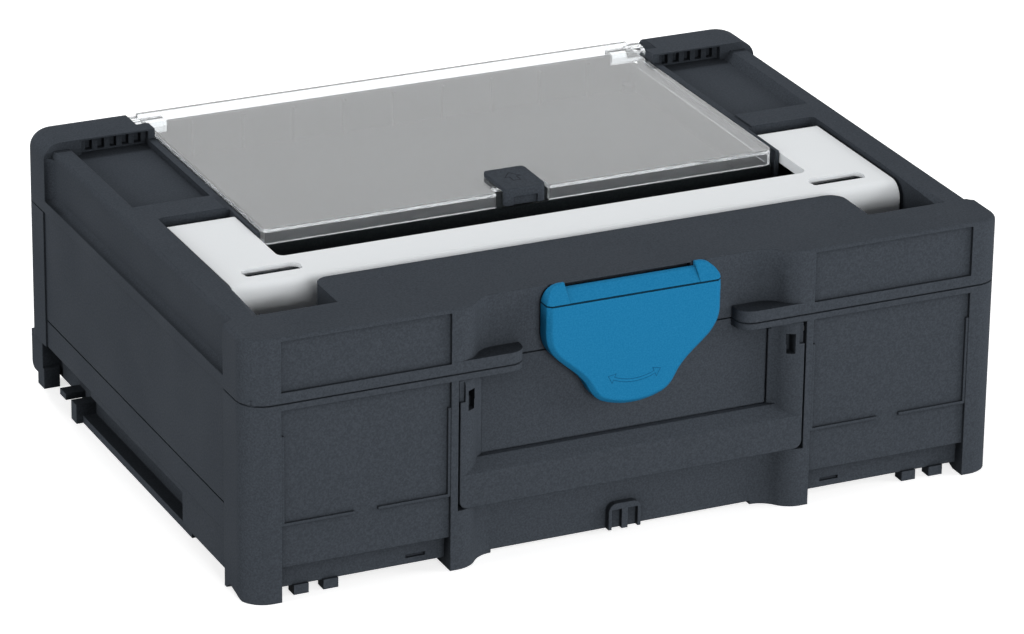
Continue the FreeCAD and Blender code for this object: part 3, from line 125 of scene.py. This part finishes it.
# Lamps: name, degrees to the right of the front, degrees up, watts, and width in metres
LAMPS = (
    ("front_lamp", 0.0, 8.0, 48.0, 1.2),
    ("left_lamp", -90.0, 15.0, 27.0, 0.9),
    ("right_lamp", 65.0, 15.0, 22.0, 0.9),
    ("back_lamp", 180.0, 50.0, 27.0, 0.5),
)
LAMP_AWAY_M = 2.4
LAMP_AIM_M = Vector((0, 0, 0.07))

# Camera, fitted to the photograph: angles in degrees, focal length and optical centre in pixels
PHOTO_SIZE = (1024, 634)
CAMERA_AZIMUTH = -25.036
CAMERA_RISE = 22.544
CAMERA_ROLL = 0.7257
CAMERA_AIM_M = Vector((0, 0, 0.068))
CAMERA_AWAY_M = 2.6077
CAMERA_FOCAL = 5249.53
CAMERA_CENTRE = (503.37, 296.65)
SENSOR_WIDTH = 36.0
CAMERA_REACH_M = 50

# Light that runs inside the clear sheet bounces many times before it leaves at the edges, as white lines.
SHEET_BOUNCES = 64


def shade(code):
    """An sRGB hex colour as linear RGBA."""
    parts = np.array([int(code[i:i + 2], 16) / 255 for i in (1, 3, 5)])
    linear = np.where(parts <= 0.04045, parts / 12.92, ((parts + 0.055) / 1.055) ** 2.4)
    return (*linear.tolist(), 1.0)


def per_mm(size):
    """Noise scale whose features are about size millimetres apart."""
    return 1.0 / (size * MM)


def add(tree, kind, sets=None, **links):
    """One node with its settings, by names of inputs or attributes, and its links, by names of inputs."""
    node = tree.nodes.new(kind)
    for name, value in (sets or {}).items():
        if name in node.inputs:
            node.inputs[name].default_value = value
        else:
            setattr(node, name, value)
    for name, socket in links.items():
        tree.links.new(socket, node.inputs[name.replace("_", " ")])
    return node


def new_finish(name):
    """An empty node material and its output node."""
    finish = bpy.data.materials.new(name)
    finish.use_nodes = True
    finish.node_tree.nodes.clear()
    return finish, finish.node_tree, finish.node_tree.nodes.new("ShaderNodeOutputMaterial")


def with_groove_shade(tree, where, colour, level, half, shade_colour):
    """The colour with a thin level line of painted shade, for the shade in a groove: its height and half its
    width are in millimetres.
    """
    split = add(tree, "ShaderNodeSeparateXYZ", Vector=where)
    near = add(tree, "ShaderNodeMath", {"operation": "COMPARE"})
    tree.links.new(split.outputs["Z"], near.inputs[0])
    near.inputs[1].default_value = level * MM
    near.inputs[2].default_value = half * MM
    drawn = add(tree, "ShaderNodeMixRGB", {"Color2": shade(shade_colour)}, Fac=near.outputs[0], Color1=colour)
    return drawn.outputs["Color"]


def moulded_plastic(name, dark, light, rough, grain, relief, shine, soft, hollow=SHALLOW_PAINTED_SHADE, groove_shade=None):
    """Moulded thermoplastic from a spark-eroded tool: an even body colour whose fine grain catches the light
    as pale and dark specks, slightly uneven gloss, no metal, and edges that look rounded by soft millimetres.
    Creases, slots and hollows get painted shade, the colour darkened by ambient occlusion: hollow is how far
    it reaches and what share of the colour is left. The last argument is a thin level line of painted shade
    for a groove, as its height, half its width and its colour."""
    finish, tree, out = new_finish(name)
    where = add(tree, "ShaderNodeTexCoord").outputs["Object"]
    grains = add(tree, "ShaderNodeTexNoise", {"Scale": per_mm(grain), "Detail": 3.0, "Roughness": 0.6},
                 Vector=where)
    cloud = add(tree, "ShaderNodeTexNoise", {"Scale": per_mm(CLOUD_PITCH), "Detail": 2.0}, Vector=where)
    speck = add(tree, "ShaderNodeValToRGB", Fac=grains.outputs["Fac"])
    for stop, place, code in zip(speck.color_ramp.elements, SPECK_BAND, (dark, light)):
        stop.position = place
        stop.color = shade(code)
    gloss = add(tree, "ShaderNodeMapRange",
                {"From Min": 0.3, "From Max": 0.7, "To Min": rough + GLOSS_STRAY[0],
                 "To Max": rough + GLOSS_STRAY[1]}, Value=cloud.outputs["Fac"])
    ease = add(tree, "ShaderNodeBevel", {"samples": 6, "Radius": soft * MM})
    bumps = add(tree, "ShaderNodeBump", {"Strength": 0.5, "Distance": relief * MM},
                Height=grains.outputs["Fac"], Normal=ease.outputs["Normal"])
    # Painted shade: the colour is darkened where ambient occlusion finds creases, slots and hollows.
    crease_occlusion = add(tree, "ShaderNodeAmbientOcclusion",
                  {"samples": 8, "only_local": True, "Distance": hollow[0] * MM})
    painted_shade = add(tree, "ShaderNodeMapRange",
                {"From Min": OPEN_SHARE, "From Max": 1.0, "To Min": hollow[1], "To Max": 1.0},
                Value=crease_occlusion.outputs["AO"])
    dimmed = add(tree, "ShaderNodeMixRGB", {"blend_type": "MULTIPLY", "Fac": 1.0},
                 Color1=speck.outputs["Color"], Color2=painted_shade.outputs["Result"])
    colour = dimmed.outputs["Color"]
    # Painted shade: a dark level line standing in for the shade in the groove under the latch's band.
    if groove_shade:
        colour = with_groove_shade(tree, where, colour, *groove_shade)
    shell = add(tree, "ShaderNodeBsdfPrincipled", {"IOR": PLASTIC_IOR, "Specular IOR Level": shine},
                Base_Color=colour, Roughness=gloss.outputs["Result"], Normal=bumps.outputs["Normal"])
    tree.links.new(shell.outputs["BSDF"], out.inputs["Surface"])
    return finish


def clear_sheet(name):
    """Injection-moulded clear polycarbonate: glossy, with a faint haze, a high index that mirrors the white
    room at a low angle, and a slight waviness from the flow of the melt."""
    finish, tree, out = new_finish(name)
    where = add(tree, "ShaderNodeTexCoord").outputs["Object"]
    flow = add(tree, "ShaderNodeTexNoise", {"Scale": per_mm(60.0), "Detail": 1.0}, Vector=where)
    ripple = add(tree, "ShaderNodeBump", {"Strength": 0.02, "Distance": 0.1 * MM}, Height=flow.outputs["Fac"])
    gloss = add(tree, "ShaderNodeMapRange", {"To Min": 0.015, "To Max": 0.045}, Value=flow.outputs["Fac"])
    shell = add(tree, "ShaderNodeBsdfPrincipled",
                {"Base Color": shade("#F6F9FB"), "IOR": POLYCARBONATE_IOR, "Transmission Weight": 0.92},
                Roughness=gloss.outputs["Result"], Normal=ripple.outputs["Normal"])
    tree.links.new(shell.outputs["BSDF"], out.inputs["Surface"])
    return finish


def drawn_steel(name):
    """Zinc-plated drawn steel: a grey metal with fine draw marks and a soft sheen."""
    finish, tree, out = new_finish(name)
    where = add(tree, "ShaderNodeTexCoord").outputs["Object"]
    marks = add(tree, "ShaderNodeTexNoise", {"Scale": per_mm(0.8), "Detail": 2.0}, Vector=where)
    tint = add(tree, "ShaderNodeMixRGB", {"Color1": shade("#A9ABAC"), "Color2": shade("#C6C8C9")},
               Fac=marks.outputs["Fac"])
    gloss = add(tree, "ShaderNodeMapRange", {"To Min": 0.26, "To Max": 0.42}, Value=marks.outputs["Fac"])
    shell = add(tree, "ShaderNodeBsdfPrincipled", {"Metallic": 1.0}, Base_Color=tint.outputs["Color"],
                Roughness=gloss.outputs["Result"])
    tree.links.new(shell.outputs["BSDF"], out.inputs["Surface"])
    return finish


# Anthracite ABS, injection moulded with a fine eroded grain: the box, the lid, the bail and the cover's
# latch, with far-reaching painted shade in its pockets and creases
BODY_ABS = moulded_plastic("anthracite_abs_grained", "#3A3F45", "#454A51", rough=0.78, grain=0.9, relief=0.05,
                           shine=0.05, soft=0.7, hollow=(40.0, 0.45))
# Near-black ABS, injection moulded with the same grain: the tray
TRAY_ABS = moulded_plastic("black_abs_grained", "#1A1E20", "#232729", rough=0.7, grain=0.9, relief=0.05,
                           shine=0.06, soft=0.4)
# White ABS, injection moulded in a smoother tool: the carrying handle, with deep painted shade in its slots
# and creases
HANDLE_ABS = moulded_plastic("white_abs_satin", "#F1F5F8", "#F4F7F9", rough=0.38, grain=0.7, relief=0.015,
                             shine=0.4, soft=0.5, hollow=(5.0, 0.12))
# Blue ABS, injection moulded with a light grain: the rotary latch, with painted shade for the step under its
# band
LATCH_ABS = moulded_plastic("blue_abs_grained", "#1A719F", "#257BA9", rough=0.6, grain=0.8, relief=0.02,
                            shine=0.08, soft=1.6, groove_shade=BAND_GROOVE_SHADE)
# The same two plastics where a sign is moulded in, darker as painted shade for the line's steep flanks
LATCH_SIGN_SHADE = moulded_plastic("blue_abs_sign_shade", "#12567F", "#1A5F88", rough=0.6, grain=0.8, relief=0.02,
                             shine=0.08, soft=0.05)
BODY_SIGN_SHADE = moulded_plastic("anthracite_abs_sign_shade", "#1E2226", "#25292E", rough=0.78, grain=0.9, relief=0.03,
                            shine=0.05, soft=0.05)
# Clear polycarbonate, injection moulded and polished: the cover
COVER_PC = clear_sheet("clear_polycarbonate_moulded")
# Steel, drawn and zinc plated: pins, screws, spring and the latch's inner pieces
PIN_STEEL = drawn_steel("zinc_plated_steel")

FINISH = {
    "box_tub": BODY_ABS, "lid_frame": BODY_ABS, "front_handle": BODY_ABS, "cover_latch": BODY_ABS,
    "compartment_tray": TRAY_ABS, "clear_cover": COVER_PC, "top_handle": HANDLE_ABS,
    "rotary_latch": LATCH_ABS,
}


def dress(piece, finish):
    """One material on the whole piece."""
    piece.data.materials.clear()
    piece.data.materials.append(finish)


def placed(name, mesh):
    """A new object in the scene."""
    piece = bpy.data.objects.new(name, mesh)
    bpy.context.scene.collection.objects.link(piece)
    return piece


def block(x0, x1, y0, y1, z0, z1):
    """Box as an upright prism: its outline seen from above and its two levels."""
    return [(x0, y0), (x1, y0), (x1, y1), (x0, y1)], z0, z1


def long_slot(x0, x1, y0, y1, z0, z1):
    """Slot along X with half-round ends, as an upright prism: each end is an arc of equal steps."""
    radius, middle = (y1 - y0) / 2, (y0 + y1) / 2
    arc = [math.radians(-90 + 180 * i / ARC_STEPS) for i in range(ARC_STEPS + 1)]
    right = [(x1 - radius + radius * math.cos(a), middle + radius * math.sin(a)) for a in arc]
    left = [(x0 + radius - radius * math.cos(a), middle - radius * math.sin(a)) for a in arc]
    return right + left, z0, z1


def carve(piece, outline, bottom, top):
    """Cuts an upright prism out of a piece."""
    count = len(outline)
    points = [(x * MM, y * MM, z * MM) for z in (bottom, top) for x, y in outline]
    sides = [(i, (i + 1) % count, (i + 1) % count + count, i + count) for i in range(count)]
    mesh = bpy.data.meshes.new("tool")
    mesh.from_pydata(points, [], sides + [tuple(range(count))[::-1], tuple(range(count, 2 * count))])
    tool = placed("tool", mesh)
    cut = piece.modifiers.new("cut", "BOOLEAN")
    cut.operation, cut.solver, cut.object = "DIFFERENCE", "EXACT", tool
    seen = piece.evaluated_get(bpy.context.evaluated_depsgraph_get())
    piece.data = bpy.data.meshes.new_from_object(seen)
    piece.modifiers.clear()
    bpy.data.objects.remove(tool)


def cut_off(form, point, way_out):
    """Cuts a form off along a plane and closes the cut."""
    bmesh.ops.bisect_plane(form, geom=form.verts[:] + form.edges[:] + form.faces[:], dist=CUT_M,
                           plane_co=Vector(point) * MM, plane_no=way_out, clear_outer=True)
    bmesh.ops.holes_fill(form, edges=[edge for edge in form.edges if edge.is_boundary])


def ease_edges(form, least, width):
    """Eases the outer edges that are long enough: rounds on the lower half, and on the upper half flat
    chamfers, which let out the light that runs inside the sheet."""
    outer = [edge for edge in form.edges
             if edge.calc_length() > least * MM and len(edge.link_faces) == 2
             and edge.calc_face_angle_signed() > OUTER_EDGE]
    middle = sum(vert.co.z for vert in form.verts) / len(form.verts)
    upper = [edge for edge in outer if edge.verts[0].co.z + edge.verts[1].co.z > 2 * middle]
    lower = [edge for edge in outer if edge not in upper]
    for edges, steps in ((lower, 3), (upper, 1)):
        bmesh.ops.bevel(form, geom=[edge for edge in edges if edge.is_valid], offset=width * MM,
                        segments=steps, profile=0.5, affect="EDGES", clamp_overlap=True)


def smoothed(node, finish, edges=None, trim=None, hollows=(), reshape=None):
    """Copy of a solid's mesh that shades smoothly over its rounds and keeps its sharp edges. edges is the
    least length and the width for easing, trim is a plane beyond which the copy is cut off, hollows are
    prisms cut out of it, and reshape moves each of its points."""
    mesh = frame["nodes"][node].data.copy()
    mesh.name = node + "_smooth"
    form = bmesh.new()
    form.from_mesh(mesh)
    bmesh.ops.remove_doubles(form, verts=form.verts, dist=WELD_M)
    if reshape:
        for vert in form.verts:
            vert.co = reshape(vert.co)
    if trim:
        cut_off(form, *trim)
    if edges:
        ease_edges(form, *edges)
    form.to_mesh(mesh)
    form.free()
    mesh.attributes.remove(mesh.attributes["custom_normal"])
    piece = placed(node + "_smooth", mesh)
    for hollow in hollows:
        carve(piece, *hollow)
    piece.data.shade_smooth()
    piece.data.set_sharp_from_angle(angle=SHARP_EDGE)
    flat = piece.modifiers.new("flat", "WEIGHTED_NORMAL")
    flat.keep_sharp = True
    flat.weight = FLAT_FACE_WEIGHT
    dress(piece, finish)
    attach(piece, BODY_OF[node])
    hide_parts(node)


def wide_seam(point):
    """Lifts the lid's lower rim a little, so that the seam shows as a dark line."""
    at_rim = abs(point.z - LID_RIM_Z * MM) < LEVEL_TOLERANCE * MM
    return point + Vector((0, 0, LID_RIM_LIFT * MM)) if at_rim else point


def free_ends(point):
    """Draws the bail's ends in a little, so that the gaps beside its arms show as dark lines."""
    return Vector((point.x * (1 - BAIL_DRAWN_IN / BAIL_END), point.y, point.z))


# The lid's hollow behind the latch, and on each side the vents in their recess, the slot of the carrying
# handle with the room below it, and the hole in the bail's arm
lid_hollows = [block(-33.5, 33.5, -139.0, -133.5, 127.0, 132.4)]
handle_slots = []
bail_holes = []
for side in (-1, 1):
    recess, slot = side * VENT_RECESS_X, side * SLOT_X
    lid_hollows.append(block(recess - VENT_RECESS_HALF, recess + VENT_RECESS_HALF, 116.5, 120.0,
                             128.9, 136.2))
    for step in range(-2, 3):
        vent = side * VENT_X + step * VENT_PITCH
        lid_hollows.append(block(vent - VENT_HALF, vent + VENT_HALF, 119.5, 123.2, 129.85, 134.95))
    handle_slots.append(block(slot - SLOT_ROOM_HALF, slot + SLOT_ROOM_HALF, -72.5, -54.0, 124.0, 128.8))
    handle_slots.append(long_slot(slot - SLOT_HALF, slot + SLOT_HALF, -68.0, -59.4, 128.0, 132.0))
    ends = sorted(side * (BAIL_END - inward) for inward in BAIL_HOLE)
    bail_holes.append(block(*ends, -149.0, -140.5, 80.5, 90.7))

CHANGES = {
    "clear_cover": {"edges": COVER_EDGES},
    "rotary_latch": {"trim": BAND_PLANE},
    "lid_frame": {"hollows": lid_hollows, "reshape": wide_seam},
    "front_handle": {"hollows": bail_holes, "reshape": free_ends},
    "top_handle": {"hollows": handle_slots},
}
for node, finish in FINISH.items():
    smoothed(node, finish, **CHANGES.get(node, {}))
for node, solid in frame["nodes"].items():
    if node not in FINISH:
        dress(solid, PIN_STEEL)


def latch_spring():
    """Copy of the latch's folded spring, which in use shortens between the latch's foot and the cover's stop;
    the copy keeps its rest shape.
    """
    node = "cover_latch_spring"
    piece = placed("cover_latch_spring_folds", frame["nodes"][node].data.copy())
    dress(piece, PIN_STEEL)
    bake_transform(piece)
    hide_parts(node)


def drawn_line(name, node, path, rise, place, finish):
    """Thin bead along a closed path: each point of the path is set out by half the width to both sides along
    its mitre, and the middle of the bead stands up by its rise. place turns a flat point and a height into
    a point in space."""
    flat = np.array(path, float)
    before = flat - np.roll(flat, 1, axis=0)
    after = np.roll(before, -1, axis=0)
    before /= np.linalg.norm(before, axis=1)[:, None]
    after /= np.linalg.norm(after, axis=1)[:, None]
    mitre = np.stack([-(before + after)[:, 1], (before + after)[:, 0]], axis=1)
    length = np.linalg.norm(mitre, axis=1)[:, None]
    out = mitre / length * np.minimum(2.0 / length, MITRE_LIMIT) * SIGN_WIDTH / 2
    points = [place(u, v, rise * up) for across, up in BEAD for u, v in flat + out * across]
    count, rows = len(flat), len(BEAD)
    faces = []
    for row in range(rows):
        here, beside = row * count, (row + 1) % rows * count
        for i in range(count):
            j = (i + 1) % count
            faces.append((here + i, here + j, beside + j, beside + i))
    mesh = bpy.data.meshes.new(name)
    mesh.from_pydata([tuple(c * MM for c in point) for point in points], [], faces)
    form = bmesh.new()
    form.from_mesh(mesh)
    bmesh.ops.recalc_face_normals(form, faces=form.faces)
    form.to_mesh(mesh)
    form.free()
    piece = placed(name, mesh)
    dress(piece, finish)
    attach(piece, BODY_OF[node])


def turn_sign():
    """Outline of a double-headed arrow on the latch's lobe, bent about the latch's axle: points are a radius
    and an angle from straight down."""
    swing = np.radians(np.linspace(-24.0, 24.0, 13))
    tip = math.radians(31.5)
    rim = [(25.4, a) for a in swing] + [(23.6, swing[-1]), (26.2, tip), (28.6, swing[-1])]
    rim += [(26.9, a) for a in swing[::-1]] + [(28.6, swing[0]), (26.2, -tip), (23.6, swing[0])]
    path = [(r * math.sin(a), LATCH_AXLE_Z - r * math.cos(a)) for r, a in rim]
    drawn_line("latch_turn_sign", "rotary_latch", path, TURN_SIGN_RISE,
               lambda u, v, h: (u, LATCH_FACE_Y - h, v), LATCH_SIGN_SHADE)


def slide_sign():
    """Outline of an arrow on the cover latch's pad, pointing the way that it slides."""
    pad = np.array([corner for corner in frame["nodes"]["cover_latch"].bound_box]) / MM
    top, middle = pad[:, 2].max(), (pad[:, 1].max() + pad[:, 1].min()) / 2
    path = [(-1.9, -3.5), (1.9, -3.5), (1.9, 1.5), (4.2, 1.5), (0.0, 6.8), (-4.2, 1.5), (-1.9, 1.5)]
    drawn_line("cover_latch_slide_sign", "cover_latch", path, SLIDE_SIGN_RISE,
               lambda u, v, h: (u, middle + v, top + h), BODY_SIGN_SHADE)


def outward(azimuth, rise):
    """Unit vector away from the case: degrees to the right of the front, and degrees up."""
    turn, lift = math.radians(azimuth), math.radians(rise)
    return Vector((math.sin(turn) * math.cos(lift), -math.cos(turn) * math.cos(lift), math.sin(lift)))


def seen_ray(tree):
    """1 for a ray that shows the room to the eye, also mirrored or through the cover, and 0 for light."""
    ray = add(tree, "ShaderNodeLightPath")
    seen = ray.outputs["Is Camera Ray"]
    for kind in ("Is Glossy Ray", "Is Transmission Ray"):
        either = add(tree, "ShaderNodeMath", {"operation": "MAXIMUM"})
        tree.links.new(seen, either.inputs[0])
        tree.links.new(ray.outputs[kind], either.inputs[1])
        seen = either.outputs[0]
    return seen


def shown(tree, light, look, surface):
    """One shader for the rays that carry light and another for those that show the room to the eye."""
    pick = add(tree, "ShaderNodeMixShader", Fac=seen_ray(tree))
    tree.links.new(light.outputs[0], pick.inputs[1])
    tree.links.new(look.outputs[0], pick.inputs[2])
    tree.links.new(pick.outputs[0], surface)


def studio():
    """Pale floor, a white room, a broad lamp in front, weaker ones to the left and right, and one behind."""
    half = FLOOR_HALF_M
    mesh = bpy.data.meshes.new("floor")
    mesh.from_pydata([(-half, -half, 0), (half, -half, 0), (half, half, 0), (-half, half, 0)], [],
                     [(0, 1, 2, 3)])
    floor = placed("floor", mesh)
    paint, tree, out = new_finish("matt_white_paint")
    lit = add(tree, "ShaderNodeBsdfDiffuse", {"Color": shade("#E8E8E8")})
    glow = add(tree, "ShaderNodeEmission", {"Color": shade("#FFFFFF"), "Strength": FLOOR_GLOW})
    pale = add(tree, "ShaderNodeAddShader")
    tree.links.new(lit.outputs[0], pale.inputs[0])
    tree.links.new(glow.outputs[0], pale.inputs[1])
    dim = add(tree, "ShaderNodeBsdfDiffuse", {"Color": shade("#303030")})
    shown(tree, dim, pale, out.inputs["Surface"])
    dress(floor, paint)

    world = bpy.data.worlds.new("white_room")
    bpy.context.scene.world = world
    world.use_nodes = True
    tree = world.node_tree
    tree.nodes.clear()
    out = tree.nodes.new("ShaderNodeOutputWorld")
    light = add(tree, "ShaderNodeBackground", {"Color": shade("#FFFFFF"), "Strength": ROOM_LIGHT})
    white = add(tree, "ShaderNodeBackground", {"Color": shade("#FFFFFF"), "Strength": 1.0})
    shown(tree, light, white, out.inputs["Surface"])

    for name, azimuth, rise, power, width in LAMPS:
        away = outward(azimuth, rise)
        lamp = bpy.data.lights.new(name, "AREA")
        lamp.energy = power
        lamp.size = width
        holder = placed(name, lamp)
        holder.location = away * LAMP_AWAY_M + LAMP_AIM_M
        holder.rotation_euler = (-away).to_track_quat("-Z", "Y").to_euler()
        # The clear cover mirrors the white room, not the lamps, which would burn it out.
        holder.visible_glossy = False


def photo_camera():
    """Long lens at the photograph's angle, to the left of the front and above, with a small roll."""
    away = outward(CAMERA_AZIMUTH, CAMERA_RISE)
    roll = math.radians(CAMERA_ROLL)
    right = (-away).cross(Vector((0, 0, 1))).normalized()
    up = right.cross(-away)
    turned_right = right * math.cos(roll) + up * math.sin(roll)
    turned_up = up * math.cos(roll) - right * math.sin(roll)
    width, height = PHOTO_SIZE
    lens = bpy.data.cameras.new("photo_camera")
    lens.sensor_width = SENSOR_WIDTH
    lens.lens = CAMERA_FOCAL * SENSOR_WIDTH / width
    lens.shift_x = (width / 2 - CAMERA_CENTRE[0]) / width
    lens.shift_y = (CAMERA_CENTRE[1] - height / 2) / width
    lens.clip_end = CAMERA_REACH_M
    camera = placed("photo_camera", lens)
    turn = Matrix((turned_right, turned_up, away)).transposed()
    camera.matrix_world = Matrix.Translation(CAMERA_AIM_M + away * CAMERA_AWAY_M) @ turn.to_4x4()
    bpy.context.scene.camera = camera


latch_spring()
turn_sign()
slide_sign()
studio()
photo_camera()
bpy.context.scene.view_settings.view_transform = "Standard"
bpy.context.scene.cycles.max_bounces = SHEET_BOUNCES
bpy.context.scene.cycles.glossy_bounces = SHEET_BOUNCES
bpy.context.scene.cycles.transmission_bounces = SHEET_BOUNCES
